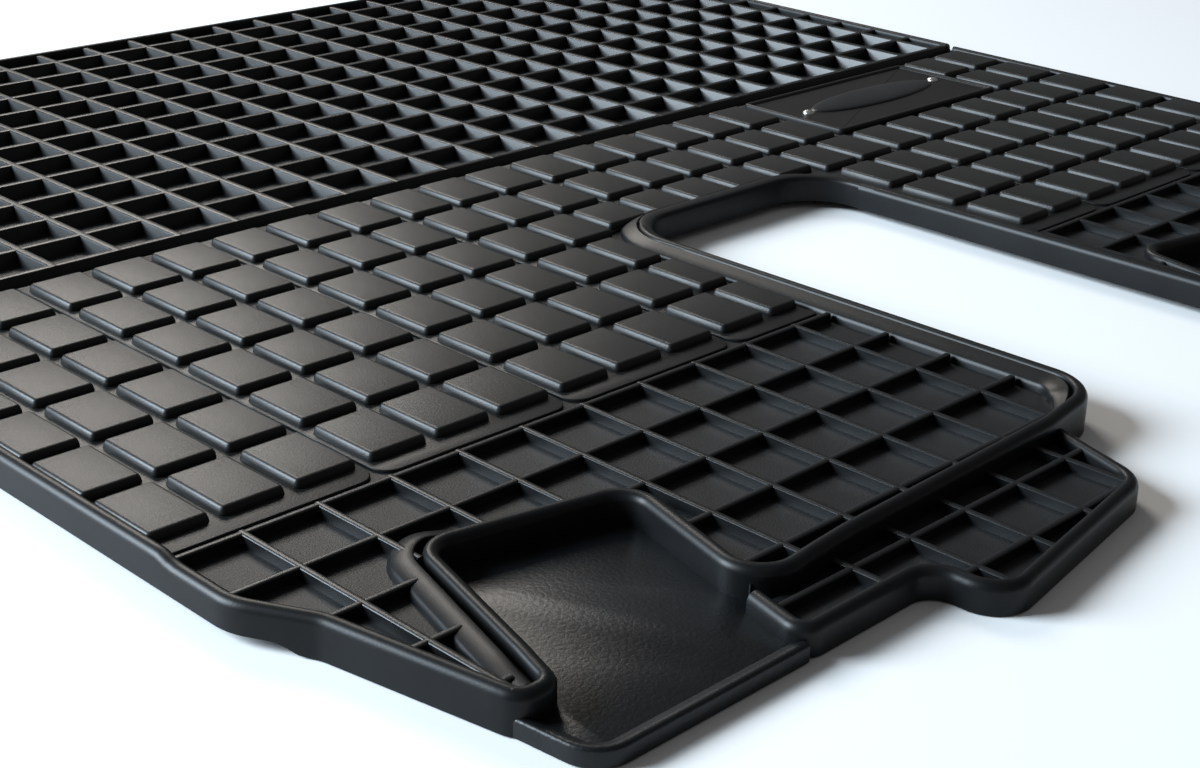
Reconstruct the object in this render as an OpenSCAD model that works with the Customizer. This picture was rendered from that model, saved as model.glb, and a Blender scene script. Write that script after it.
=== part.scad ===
// Moulded rubber floor mat for a truck cab: two tongues on either side of a
// pedal slot, a heel section with tread blocks, a ribbed rear section that
// folds up at a flex groove, a recessed step pocket on each tongue and a low
// step flap. X runs across the mat, Y from the near end to the rear, Z up.
// The layout is measured from the outer face of the left rim (x = 0) and from
// the ledge between the tongues and the heel section (y = 0).

/* [Overall] */
// Width across the outer faces of the side rims, at the ledge
mat_w = 674; // [600:1:820]
// Extra width that the far side has gained at the rear end
flare = 24; // [0:1:40]
// Length of the tongues, from the ledge to the near end
toe_l = 118.5; // [110:0.5:160]
// Length of the heel section, from the ledge to the flex groove
heel_l = 224; // [185:1:300]
// Length of the rear section, behind the flex groove
rear_l = 310; // [200:1:400]

/* [Heights above the ground] */
// Top of the heel section's floor, under the tread plates
heel_floor_top = 10.2; // [9:0.1:12]
// Top of the floor between the tongues' ribs
toe_floor_top = 8.7; // [7.5:0.1:10]
// Top of the floor between the rear ribs
rear_floor_top = 8.1; // [7:0.1:10]
// Top of the tongues' ribs
toe_rib_top = 12.5; // [11:0.1:14]
// Top of the rear ribs
rear_rib_top = 14; // [12:0.1:16]
// Top of the rims around the tongues and the heel section
rim_top = 14.3; // [13:0.1:17]
// Top of the rims around the rear section
rear_rim_top = 15; // [13:0.1:18]
// Underside of the raised floors, and length of the grip studs
underside = 4.7; // [3:0.1:6]
// Lower edge of the rims that hang clear of the ground
hem = 3; // [1:0.1:4]

/* [Rims] */
// Thickness of the rims
rim_t = 5; // [4:0.1:8]
// Width of the gutter beside the slot's near rim and the near pocket
gutter_w = 4.5; // [2:0.5:8]
// Width of the kerb beyond the gutter
kerb_w = 7.5; // [4:0.5:10]
// Top of the kerb
kerb_top = 13.6; // [12.8:0.1:14.2]
// Radius of the mat's outer corners
corner_r = 22; // [10:1:30]

/* [Pedal slot] */
// Distance from the left side to the slot
slot_x = 304; // [280:1:330]
// Width of the slot
slot_w = 118; // [90:1:150]
// Distance from the ledge to the slot's closed end
slot_end = 119; // [90:1:135]
// Radius of the slot's closed corners
slot_r = 24; // [12:1:36]

/* [Ribs] */
// Pitch of the ribs on the tongues
cell = 27; // [22:0.5:34]
// Thickness of the tongues' ribs
rib_t = 2.2; // [1.6:0.1:4]
// Thickness of the rear ribs
rear_rib_t = 2.8; // [1.6:0.1:5]
// Pitch of the lengthwise ribs of the rear section
rear_cell_x = 28.3; // [22:0.1:36]
// Pitch of the crosswise ribs of the rear section
rear_cell_y = 26; // [22:0.1:36]

/* [Tread blocks] */
// Blocks across one tread strip
blocks_across = 3; // [2:1:4]
// Pitch of the strips
strip_pitch = 81; // [78:0.5:110]
// Pitch of the blocks across a strip
block_pitch = 26.5; // [25:0.1:36]
// Pitch of the block rows along the mat
row_pitch = 34.75; // [30:0.05:44]
// Width of a block
block_w = 23; // [14:0.1:24]
// Length of a block
block_l = 30.2; // [18:0.1:32]
// Height of a block above its plate
block_h = 3; // [1.5:0.1:4]
// Thickness of the plate that carries the blocks
plate_t = 1; // [0.6:0.1:1.6]
// Gap between neighbouring plates
plate_gap = 1.6; // [1:0.1:3]
// Distance from the ledge to the plates
plate_start = 6; // [4:0.5:10]
// Distance from the ledge to the first block row
first_row = 14.6; // [12:0.1:20]

/* [Pockets and step flap] */
// Distance from the left side to the near pocket's wall, at its mouth
pocket_x = 38; // [34:0.5:60]
// Width of a pocket at its mouth
pocket_w = 72.5; // [50:0.5:76]
// Distance from the near end to a pocket's back wall, at its left corner
pocket_l = 77.5; // [58:0.5:84]
// Thickness of a pocket's floor, on the ground
pocket_floor = 3.5; // [2:0.1:5]
// Height of the lip along a pocket's mouth
pocket_lip = 5.5; // [4:0.1:7]
// Top of the pocket walls
pocket_wall_top = 13.4; // [12:0.1:15]
// How far the step flap reaches beyond the near end
flap_out = 45; // [34:0.5:60]
// Width of the flap along the near end
flap_w = 152; // [120:1:170]
// Top of the flap's floor
flap_floor = 5.1; // [3:0.1:6]
// Top of the flap's ribs
flap_rib_top = 8.7; // [6:0.1:10]
// Top of the flap's rim
flap_rim_top = 9.8; // [8:0.1:12]

/* [Flex groove] */
// Width of the groove that the rear section folds at
groove_w = 5; // [4.5:0.1:8]
// Height of the fold axis above the ground
fold_z = 7.5; // [6:0.1:8]
// Thickness of the web that bridges the groove
web_t = 1.6; // [1:0.1:2.4]
// Gap between the web and the rear section
web_gap = 1; // [0.8:0.1:1.5]

/* [Badge panel] */
// Block columns and rows that the panel covers
badge_columns = 5; // [3:1:6]
// Rim around the panel's recess
badge_rim = 3; // [2:0.5:6]
// Depth of the recess
badge_recess = 1.2; // [0.6:0.1:2]
// Length of the blank oval
oval_l = 97; // [60:1:110]
// Width of the blank oval
oval_w = 25; // [14:1:30]
// Diameter of the two pins
pin_d = 6; // [3:0.5:8]

/* [Grip studs] */
// Diameter of a stud
stud_d = 9; // [6:0.5:14]
// Largest distance between studs
stud_pitch = 58; // [40:1:90]

/* [Hidden] */

rubber = [0.16, 0.17, 0.18];
rib_rubber = [0.24, 0.25, 0.27];
block_rubber = [0.42, 0.43, 0.43];
pad_rubber = [0.30, 0.32, 0.34];
badge_dark = [0.10, 0.10, 0.11];
arc_steps = 6;
oval_steps = 32;
clear = 0.5;

// Places along the mat
ledge_y = 2.6;
slot_far = slot_x + slot_w;
slot_straight = slot_end - slot_r;
rear_y = heel_l + groove_w;
rear_end = rear_y + rear_l;
below = -toe_l - 2 * flap_out;
far_slope = flare / (rear_end + toe_l);

// Heights
plate_top = heel_floor_top + plate_t;
block_top = plate_top + block_h;
hang_y = -45;

// Rounded step of the left side beside the near pocket
step_top = -28;
step_foot = -51;
step_in = 12.5;
tongue_x = pocket_x - 13.5;

// Pockets: the walls lean, and end at the mouth just short of the near end.
mouth_y = -toe_l + 4;
pocket_back = -toe_l + pocket_l;
left_lean = 0.295;
right_lean = 0.28;
wall_run = 6;
lip_w = 4;
lip_out = 22;
kerb_reach = 9;
flap_x = pocket_x + pocket_w + clear;
rim_start = flap_x - 2.1;
end_drop = 2;
far_back = slot_far + 20;
far_lean = (far_back - slot_far - rim_t / 2) / (pocket_back - mouth_y);
far_shift = far_back - wall_x(pocket_back);
split_y = ledge_y - cell - rib_t;
split_x = wall_x(pocket_back) + kerb_reach;
split_w = 62;

// Tread strips and badge panel
badge_strip = 6;
strip_start = 2.5;
strip_r = 7;
slot_block_gap = 9;
rows = floor((heel_l - first_row - block_l) / row_pitch);
badge_x = strip_start + badge_strip * strip_pitch;
badge_w = floor((badge_columns - 1) / blocks_across) * strip_pitch
    + ((badge_columns - 1) % blocks_across) * block_pitch + block_w;
badge_y = first_row + (rows - 1) * row_pitch;
badge_l = row_pitch + block_l;
badge_middle = [badge_x + badge_w / 2 + 2, badge_y + badge_l * 0.52];

// Places of the ribs
first_rib_x = 27;
rear_first_x = 16.6;
flap_rib_shift = 9;
toe_rib_x = [for (x = [first_rib_x:cell:mat_w]) x];
toe_rib_y = [for (y = [ledge_y:-cell:-toe_l + rim_t + 6]) y];
flap_rib_x = [for (x = toe_rib_x) if (x > flap_x) x + flap_rib_shift];
flap_rib_y = [-toe_l - 5, -toe_l - 28.5];
rear_rib_x = [for (x = [rear_first_x:rear_cell_x:mat_w + flare]) x];
rear_rib_y = [for (y = [rear_y + rear_rib_t:rear_cell_y:rear_end - rim_t - 6]) y];

// Distance from a rim's outer face to the kerb's far side
kerb_far = rim_t + gutter_w + kerb_w;
// Studs stand this far inside the outer faces.
stud_in = rim_t + stud_d;

// Outer face of the far side at the distance y from the ledge.
function far_x(y) = mat_w + far_slope * y;
// Middle of the near pocket's left and right walls at the distance y.
function wall_x(y) = pocket_x + left_lean * (y + toe_l - 6.5);
function right_x(y) = flap_x + 1.2 + right_lean * (y + toe_l - 6.5);
// Middle of the far pocket's left wall, which ends flush with the slot.
function far_wall_x(y) = far_back + far_lean * (y - pocket_back);

function unit(v) = v / norm(v);
// Points of an arc about c from angle a0 through the angle sweep.
function arc(c, r, a0, sweep) =
    [for (i = [0:arc_steps]) c + r * [cos(a0 + sweep * i / arc_steps), sin(a0 + sweep * i / arc_steps)]];
// Rounds the corner b between a and c with the radius r.
function rounded(a, b, c, r) =
    let (u = unit(a - b), v = unit(c - b), half = acos(u * v) / 2,
        middle = b + unit(u + v) * r / sin(half), start = b + u * r / tan(half) - middle,
        turn = u[0] * v[1] - u[1] * v[0] < 0 ? 1 : -1)
    arc(middle, r, atan2(start[1], start[0]), turn * (180 - 2 * half));
// A path or an outline from corners [x, y, radius].
function corner(p) = [p[0], p[1]];
function path(p, closed = false) =
    let (n = len(p))
    [for (i = [0:n - 1])
        let (ends = !closed && (i == 0 || i == n - 1))
        for (q = ends || p[i][2] == 0 ? [corner(p[i])]
            : rounded(corner(p[(i + n - 1) % n]), corner(p[i]), corner(p[(i + 1) % n]), p[i][2])) q];
// Moves an open path sideways to its left by d.
function left_of(a, b) = let (u = unit(b - a)) [-u[1], u[0]];
function beside(p, d) =
    let (n = len(p))
    [for (i = [0:n - 1])
        let (n1 = left_of(p[max(i - 1, 0)], p[max(i, 1)]),
            n2 = left_of(p[min(i, n - 2)], p[min(i + 1, n - 1)]), m = unit(n1 + n2))
        p[i] + m * d / (m * n1)];
function backwards(p) = [for (i = [len(p) - 1:-1:0]) p[i]];
// Outline between two paths, from their points a to their points b.
function between(p, q, a, b) = concat([for (i = [a:b]) p[i]], [for (i = [b:-1:a]) q[i]]);
// Outline of a band along an open path, from d0 to d1 on its left.
function band(p, d0, d1) = concat(beside(p, d0), backwards(beside(p, d1)));

// Outer faces, each drawn with the mat on its left.
// Left side, from the flex groove down to the near pocket.
left_path = path([[0, heel_l, 0], [0, step_top, 24], [step_in, step_foot, 18],
    [tongue_x, mouth_y, 8], [pocket_x + rim_t, mouth_y, 0]]);
// Near end, from the pocket to the slot's near corner.
end_path = path([[rim_start, mouth_y, 0], [rim_start, mouth_y - end_drop, 0], [flap_x + 19, -toe_l, 0],
    [flap_x + 44, -toe_l + 2.1, 0], [slot_x - corner_r - 18, -toe_l + 5.5, 0]]);
// Slot's near side, from the near corner to the closed end.
slot_near_path = path([[slot_x - corner_r - 18, -toe_l + 5.5, 0], [slot_x, -toe_l + 11.5, corner_r],
    [slot_x, slot_straight, 0]]);
// Both as one line, and its inner side, so that the two rims meet in a mitre
corner_i = len(end_path) - 1;
near_side = concat([for (i = [0:corner_i - 1]) end_path[i]], slot_near_path);
near_inner = beside(near_side, rim_t);
// Far side, from the far pocket round the near corner to the flex groove.
far_path = path([[rim_start + far_shift, mouth_y, 0], [rim_start + far_shift, -toe_l, 0],
    [far_x(-toe_l), -toe_l, corner_r], [far_x(heel_l), heel_l, 0]]);
far_split = -toe_l + 30;
// Middles of the pocket walls.
pocket_path = path([[wall_x(mouth_y - wall_run), mouth_y - wall_run, 0],
    [wall_x(pocket_back), pocket_back + 3, 11], [right_x(pocket_back - 11), pocket_back - 11, 10],
    [right_x(mouth_y - wall_run), mouth_y - wall_run, 0]]);
far_pocket_path = path([[far_wall_x(mouth_y - wall_run), mouth_y - wall_run, 0],
    [far_back, pocket_back + 3, 11], [right_x(pocket_back - 11) + far_shift, pocket_back - 11, 10],
    [right_x(mouth_y - wall_run) + far_shift, mouth_y - wall_run, 0]]);
pocket_kerb_path = [for (p = pocket_path) if (p[0] < split_x) p];
tongue_kerb_path = concat([for (p = slot_near_path) if (p[1] < hang_y) p], [[slot_x, ledge_y - rib_t]]);
// Outer edges of the pans in front of the mouths.
flap_corner = [flap_x - 8, -toe_l - lip_out];
flap_root = [rim_start, mouth_y - end_drop];
flap_start = flap_root + (flap_root - flap_corner) / 3;
lip_path = path([[tongue_x + 0.3, mouth_y, 0], [tongue_x + 3.5, -toe_l - lip_out, 12],
    [flap_corner[0], flap_corner[1], 0]]);
far_lip_path = path([[slot_far, mouth_y, 0], [slot_far + 4, -toe_l - lip_out, 9],
    [flap_x + far_shift - 6, -toe_l - lip_out, 6], [rim_start + far_shift, -toe_l, 0]]);
// Outer edge of the step flap.
flap_path = path([[flap_start[0], flap_start[1], 0], [flap_corner[0], flap_corner[1], 7],
    [flap_x + 49, -toe_l - lip_out + 0.5, 8], [flap_x + 49.5, -toe_l - flap_out - 3, 13],
    [flap_x + flap_w - 6, -toe_l - flap_out + 12.4, 15], [flap_x + flap_w + 8.5, -toe_l + 6.5, 0]]);
// Rear section, clockwise from the groove's left end.
rear_outer = path([[0, rear_y, 0], [0, rear_end, corner_r], [far_x(rear_end), rear_end, corner_r],
    [far_x(rear_y), rear_y, 0]]);

module slab(z0, z1) {
    translate([0, 0, z0]) linear_extrude(z1 - z0) children();
}
// Puts the origin on the ground under the middle of the mat.
module placed() {
    low_y = min([for (p = flap_path) p[1]]);
    high_x = max([for (p = rear_outer) p[0]]);
    translate([-high_x / 2, -(rear_end + low_y) / 2, 0]) children();
}
// Everything behind the distance y from the ledge.
module behind(y) {
    translate([-mat_w, y]) square([3 * mat_w, 2 * rear_end]);
}
// Outline of the slot, grown by g, open beyond the near end.
module slot_area(g) {
    polygon(path([[slot_x - g, below, 0], [slot_x - g, slot_end + g, slot_r + g],
        [slot_far + g, slot_end + g, slot_r + g], [slot_far + g, below, 0]], true));
}
// Area inside a pocket's wall whose middle is p, moved outwards by g.
module pocket_area(p, g) {
    q = beside(p, g);
    last = len(q) - 1;
    polygon(concat([[q[0][0], below]], q, [[q[last][0], below]]));
}
// Near tongue inside its rims.
module near_tongue_area() {
    difference() {
        polygon(concat([[rim_t, ledge_y]], beside([for (p = left_path) if (p[1] < -1) p], rim_t),
            [for (i = [1:len(near_side) - 2]) near_inner[i]], [[slot_x - rim_t, ledge_y]]));
        pocket_area(pocket_path, rim_t / 2);
    }
}
// The near tongue's rib field keeps clear of the kerbs too.
module near_field_area() {
    difference() {
        near_tongue_area();
        polygon(band(slot_near_path, 0, kerb_far));
        polygon(band(pocket_kerb_path, 0, kerb_far - rim_t / 2));
    }
}
// Far tongue inside its rims.
module far_tongue_area() {
    difference() {
        polygon(concat([[slot_far + rim_t, ledge_y], [slot_far + rim_t, mouth_y]],
            beside([for (p = far_path) if (p[1] < 0) p], rim_t), [[far_x(ledge_y) - rim_t, ledge_y]]));
        pocket_area(far_pocket_path, rim_t / 2);
    }
}
// Heel section inside its rims, between two distances from the ledge.
module heel_area(y0, y1) {
    difference() {
        polygon([[rim_t, y0], [far_x(y0) - rim_t, y0], [far_x(y1) - rim_t, y1], [rim_t, y1]]);
        slot_area(rim_t);
    }
}
// Area taken by a pocket and its wall, down to the mouth.
module wall_cut(p) {
    intersection() {
        pocket_area(p, rim_t / 2);
        behind(mouth_y);
    }
}
// Ribs in both directions at the places x and y.
module rib_lines(x, y, t) {
    for (px = x) translate([px - t / 2, below]) square([t, rear_end - below]);
    for (py = y) translate([-1, py - t]) square([far_x(rear_end) + 2, t]);
}

/* rims */
module left_rim() {
    color(rubber) placed() difference() {
        union() {
            slab(hem, toe_rib_top) polygon(band(left_path, 0, rim_t));
            slab(toe_rib_top, rim_top) square([rim_t, heel_l]);
            slab(0, hem) polygon(band([for (p = left_path) if (p[1] < hang_y) p], 0, rim_t));
        }
        slab(-1, rim_top + 1) pocket_area(pocket_path, rim_t / 2);
    }
}
module near_end_rim() {
    color(rubber) placed() slab(0, rim_top) difference() {
        polygon(between(near_side, near_inner, 0, corner_i));
        wall_cut(pocket_path);
    }
}
module slot_near_rim() {
    color(rubber) placed() {
        slab(hem, rim_top) polygon(between(near_side, near_inner, corner_i, len(near_side) - 1));
        slab(toe_floor_top, kerb_top) polygon(band(tongue_kerb_path, rim_t + gutter_w, kerb_far));
        slab(plate_top, kerb_top)
            translate([slot_x - kerb_far, plate_start]) square([kerb_w, slot_straight - plate_start]);
    }
}
module slot_end_rim() {
    color(rubber) placed() slab(hem, block_top) intersection() {
        difference() {
            slot_area(rim_t);
            slot_area(0);
        }
        behind(slot_straight);
    }
}
module slot_far_rim() {
    color(rubber) placed() slab(hem, rim_top) difference() {
        translate([slot_far, mouth_y]) square([rim_t, slot_straight - mouth_y]);
        pocket_area(far_pocket_path, rim_t / 2);
    }
}
module far_end_rim() {
    color(rubber) placed() slab(0, rim_top) difference() {
        polygon(band(far_path, 0, rim_t));
        behind(far_split);
        wall_cut(far_pocket_path);
    }
}
module far_rim() {
    color(rubber) placed() slab(hem, rim_top) intersection() {
        polygon(band(far_path, 0, rim_t));
        behind(far_split);
    }
}

/* floors */
module near_floor() {
    color(rubber) placed() slab(underside, toe_floor_top) near_tongue_area();
}
module far_floor() {
    color(rubber) placed() slab(underside, toe_floor_top) far_tongue_area();
}
module heel_floor_rear() {
    color(rubber) placed() slab(underside, heel_floor_top) heel_area(slot_end + rim_t, heel_l);
}
module heel_floor_near() {
    color(rubber) placed() slab(underside, heel_floor_top) intersection() {
        heel_area(ledge_y, slot_end + rim_t);
        square([slot_x + slot_w / 2, rear_end]);
    }
}
module heel_floor_far() {
    color(rubber) placed() slab(underside, heel_floor_top) difference() {
        heel_area(ledge_y, slot_end + rim_t);
        square([slot_x + slot_w / 2, rear_end]);
    }
}

/* ribs of the tongues */
module toe_ribs() {
    slab(toe_floor_top, toe_rib_top) intersection() {
        rib_lines(toe_rib_x, toe_rib_y, rib_t);
        children();
    }
}
module near_ledge_ribs() {
    color(rib_rubber) placed() toe_ribs() intersection() {
        near_field_area();
        union() {
            behind(split_y);
            translate([split_x, -toe_l]) square([split_w, toe_l]);
        }
    }
}
module near_side_ribs() {
    color(rib_rubber) placed() toe_ribs() difference() {
        near_field_area();
        behind(split_y);
        translate([split_x, below]) square([mat_w, -below]);
    }
}
module near_rib_grid() {
    color(rib_rubber) placed() toe_ribs() difference() {
        near_field_area();
        behind(split_y);
        translate([0, below]) square([split_x + split_w, -below]);
    }
}
module far_ledge_ribs() {
    color(rib_rubber) placed() toe_ribs() intersection() {
        far_tongue_area();
        union() {
            behind(split_y);
            translate([slot_far, -toe_l]) square([split_x + far_shift + split_w - slot_far, toe_l]);
        }
    }
}
module far_rib_grid() {
    color(rib_rubber) placed() toe_ribs() difference() {
        far_tongue_area();
        behind(split_y);
        translate([0, below]) square([split_x + far_shift + split_w, -below]);
    }
}

/* pockets */
module pocket_pan(wall, lip, apron) {
    slab(0, pocket_floor) {
        intersection() {
            pocket_area(wall, -rim_t / 2);
            behind(mouth_y);
        }
        polygon(apron);
    }
    slab(pocket_floor, pocket_lip) intersection() {
        polygon(band(lip, 0, lip_w));
        polygon(apron);
    }
}
module near_pocket_pan() {
    color(pad_rubber) placed() pocket_pan(pocket_path, lip_path,
        concat(lip_path, [flap_root, [rim_start, mouth_y]]));
}
module far_pocket_pan() {
    color(pad_rubber) placed() pocket_pan(far_pocket_path, far_lip_path,
        concat(far_lip_path, [[rim_start + far_shift, mouth_y]]));
}
module near_pocket_wall() {
    color(rubber) placed() {
        slab(0, pocket_wall_top) intersection() {
            polygon(band(pocket_path, -rim_t / 2, rim_t / 2));
            behind(mouth_y);
        }
        slab(toe_floor_top, kerb_top) intersection() {
            polygon(band(pocket_kerb_path, rim_t / 2 + gutter_w, kerb_far - rim_t / 2));
            near_tongue_area();
        }
    }
}
module far_pocket_wall() {
    color(rubber) placed() slab(0, pocket_wall_top) intersection() {
        polygon(band(far_pocket_path, -rim_t / 2, rim_t / 2));
        behind(mouth_y);
    }
}

/* step flap */
module flap_clip() {
    intersection() {
        polygon(concat([for (p = end_path) if (p[1] < mouth_y) p],
            [for (p = slot_near_path) if (p[1] < hang_y) p], [[slot_x, below], [0, below], [0, -toe_l]]));
        children();
    }
}
module step_flap() {
    color(rubber) placed() slab(0, flap_floor) flap_clip() polygon(beside(flap_path, rim_t));
}
module flap_rim() {
    color(rubber) placed() slab(0, flap_rim_top) flap_clip() polygon(band(flap_path, 0, rim_t));
}
module flap_ribs() {
    color(rib_rubber) placed() slab(flap_floor, flap_rib_top) intersection() {
        rib_lines(flap_rib_x, flap_rib_y, rib_t);
        flap_clip() polygon(beside(flap_path, rim_t));
    }
}

/* tread strips */
function under_badge(x, r) = r >= rows - 1 && x > badge_x - 1 && x < badge_x + badge_w;
module strip_plate(x, first) {
    intersection() {
        heel_area(plate_start, heel_l - clear);
        polygon(path([[x + plate_gap, plate_start, first ? 0 : strip_r],
            [x + strip_pitch, plate_start, strip_r], [x + strip_pitch, heel_l - clear, 0],
            [x + plate_gap, heel_l - clear, 0]], true));
    }
}
module block_area() {
    difference() {
        polygon([[rim_t, plate_start], [far_x(plate_start) - rim_t, plate_start],
            [far_x(heel_l) - rim_t, heel_l - clear], [rim_t, heel_l - clear]]);
        slot_area(rim_t);
        polygon(band(slot_near_path, 0, kerb_far));
        translate([slot_far, 0]) square([slot_block_gap + rim_t, slot_straight]);
    }
}
module tread_strip(i) {
    x0 = strip_start + i * strip_pitch;
    slab(heel_floor_top, plate_top) strip_plate(x0 - block_pitch + block_w, i == 0);
    slab(plate_top, block_top) intersection() {
        block_area();
        for (c = [0:blocks_across - 1], r = [0:rows])
            if (!under_badge(x0 + c * block_pitch, r))
                translate([x0 + c * block_pitch, first_row + r * row_pitch]) square([block_w, block_l]);
    }
}
module tread_strip_1() { color(block_rubber) placed() tread_strip(0); }
module tread_strip_2() { color(block_rubber) placed() tread_strip(1); }
module tread_strip_3() { color(block_rubber) placed() tread_strip(2); }
module tread_strip_4() { color(block_rubber) placed() tread_strip(3); }
module tread_strip_5() { color(block_rubber) placed() tread_strip(4); }
module tread_strip_6() { color(block_rubber) placed() tread_strip(5); }
module tread_strip_7() { color(block_rubber) placed() tread_strip(6); }
module tread_strip_8() { color(block_rubber) placed() tread_strip(7); }
module tread_strip_9() { color(block_rubber) placed() tread_strip(8); }

/* badge */
module badge_panel() {
    color(badge_dark) placed() difference() {
        slab(plate_top, block_top) translate([badge_x, badge_y]) square([badge_w, badge_l]);
        slab(block_top - badge_recess, block_top + 1) translate([badge_x + badge_rim, badge_y + badge_rim])
            square([badge_w - 2 * badge_rim, badge_l - 2 * badge_rim]);
    }
}
module badge_oval() {
    color(pad_rubber) placed() slab(block_top - badge_recess, block_top) translate(badge_middle)
        polygon([for (i = [0:oval_steps - 1]) let (a = 360 * i / oval_steps)
            [oval_l / 2 * cos(a), oval_w / 2 * sin(a)]]);
}
module badge_pins() {
    pin_off = oval_l / 2 + pin_d / 2 + 1;
    color("silver") placed() slab(block_top - badge_recess, block_top)
        for (side = [-1, 1]) translate(badge_middle + [side * pin_off, 0]) circle(d = pin_d, $fn = 32);
}

/* flex groove */
module flex_web() {
    color(rubber) placed() slab(fold_z - web_t / 2, fold_z + web_t / 2)
        translate([rim_t, heel_l]) square([far_x(heel_l) - 2 * rim_t, groove_w - web_gap]);
}

/* rear section */
module rear_inside() {
    polygon(beside(rear_outer, -rim_t));
}
module rear_tray() {
    color(rubber) placed() slab(underside, rear_floor_top) rear_inside();
}
module rear_rib_grid() {
    color(rib_rubber) placed() slab(rear_floor_top, rear_rib_top) intersection() {
        rib_lines(rear_rib_x, rear_rib_y, rear_rib_t);
        rear_inside();
    }
}
module rear_rim(x0, x1) {
    slab(hem, rear_rim_top) intersection() {
        polygon(band(rear_outer, -rim_t, 0));
        translate([x0, rear_y]) square([x1 - x0, rear_l + 1]);
    }
}
module rear_left_rim() {
    color(rubber) placed() rear_rim(-1, rim_t);
}
module rear_end_rim() {
    color(rubber) placed() rear_rim(rim_t, far_x(rear_y) - rim_t);
}
module rear_far_rim() {
    color(rubber) placed() rear_rim(far_x(rear_y) - rim_t, far_x(rear_end) + 1);
}

/* grip studs */
function spread(a, b) =
    let (n = max(1, ceil((b - a) / stud_pitch)))
    [for (i = [0:n]) a + (b - a) * i / n];
module studs(x0, x1, y0, y1) {
    for (x = spread(x0, x1), y = spread(y0, y1))
        translate([x, y, 0]) cylinder(d = stud_d, h = underside, $fn = 24);
}
module near_toe_grip_studs() {
    color(rubber) placed()
        studs(flap_x + 2 * stud_in, slot_x - 2 * stud_in, -toe_l + 2 * stud_in, -toe_l / 2 + 12);
}
module near_grip_studs() {
    color(rubber) placed() studs(stud_in, slot_x - stud_in, -stud_in, slot_end - stud_in);
}
module far_toe_grip_studs() {
    color(rubber) placed()
        studs(flap_x + far_shift + 2 * stud_in, far_x(-toe_l) - stud_in, -toe_l + stud_in, -toe_l / 2 + 12);
}
module far_grip_studs() {
    color(rubber) placed() studs(slot_far + stud_in, far_x(-stud_in) - stud_in, -stud_in, slot_end - stud_in);
}
module heel_grip_studs() {
    color(rubber) placed() studs(stud_in, far_x(0) - stud_in, slot_end + stud_in + 3, heel_l - stud_in);
}
module rear_grip_studs() {
    color(rubber) placed()
        studs(stud_in + 6, far_x(rear_y) - stud_in - 6, rear_y + stud_in, rear_end - stud_in - 6);
}

left_rim();
near_end_rim();
slot_near_rim();
slot_end_rim();
slot_far_rim();
far_end_rim();
far_rim();
near_floor();
far_floor();
heel_floor_rear();
heel_floor_near();
heel_floor_far();
near_ledge_ribs();
near_side_ribs();
near_rib_grid();
far_ledge_ribs();
far_rib_grid();
near_pocket_pan();
near_pocket_wall();
far_pocket_pan();
far_pocket_wall();
step_flap();
flap_rim();
flap_ribs();
tread_strip_1();
tread_strip_2();
tread_strip_3();
tread_strip_4();
tread_strip_5();
tread_strip_6();
tread_strip_7();
tread_strip_8();
tread_strip_9();
badge_panel();
badge_oval();
badge_pins();
flex_web();
near_toe_grip_studs();
near_grip_studs();
far_toe_grip_studs();
far_grip_studs();
heel_grip_studs();
rear_tray();
rear_rib_grid();
rear_left_rim();
rear_end_rim();
rear_far_rim();
rear_grip_studs();
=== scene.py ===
import math

import bmesh
import bpy
import numpy as np
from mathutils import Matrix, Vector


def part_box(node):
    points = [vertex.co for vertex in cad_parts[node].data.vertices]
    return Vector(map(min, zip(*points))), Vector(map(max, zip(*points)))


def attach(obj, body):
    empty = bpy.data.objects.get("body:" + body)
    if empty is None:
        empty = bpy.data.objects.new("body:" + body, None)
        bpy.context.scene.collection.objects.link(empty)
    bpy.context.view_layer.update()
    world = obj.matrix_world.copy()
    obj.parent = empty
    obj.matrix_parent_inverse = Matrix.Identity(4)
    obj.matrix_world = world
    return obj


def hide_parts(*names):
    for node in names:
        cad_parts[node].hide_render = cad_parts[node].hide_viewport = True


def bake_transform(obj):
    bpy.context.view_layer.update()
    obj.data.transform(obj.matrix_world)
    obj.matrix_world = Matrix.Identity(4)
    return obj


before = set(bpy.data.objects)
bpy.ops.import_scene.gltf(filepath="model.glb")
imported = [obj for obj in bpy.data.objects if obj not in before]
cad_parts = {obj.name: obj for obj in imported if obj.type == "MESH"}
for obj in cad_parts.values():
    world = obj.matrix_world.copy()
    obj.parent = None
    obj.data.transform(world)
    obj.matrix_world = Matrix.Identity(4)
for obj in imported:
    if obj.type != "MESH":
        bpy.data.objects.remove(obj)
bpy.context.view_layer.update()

# The pieces are drawn in the mat's own layout, in millimetres: x from the left side, y from the ledge
# between the tongues and the heel section, z from the ground. toFrame turns that into the frame's metres.
mat = {
    # places along y, the width at the ledge and how fast it grows
    "rearEnd": 539.0, "groove": 224.0, "rearStart": 229.0, "ledge": 2.6, "nearEnd": -118.5,
    "width": 674.0, "flare": 0.0365,
    "slotNear": 304.0, "slotFar": 422.0, "slotEnd": 119.0, "slotRadius": 24.0,
    # heights above the ground
    "blockTop": 14.2, "toeFloor": 8.7, "toeRib": 12.5, "rearFloor": 8.1, "rearRib": 14.0,
    "rim": 14.3, "rearRim": 15.0, "pocketRim": 13.7, "hem": 3.0, "underside": 4.7,
    "flapFloor": 5.1, "flapRib": 8.7, "flapRim": 9.8,
}
centre = np.array([
    -1000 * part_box("left_rim")[0][0],
    mat["rearEnd"] - 1000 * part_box("rear_end_rim")[1][1]])


def toFrame(points):
    # (x, y, z) in layout millimetres less the middle of the mat, over 1000
    points = np.asarray(points, float).reshape(-1, 3)
    return np.column_stack([points[:, :2] - centre, points[:, 2]]) / 1000


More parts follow.
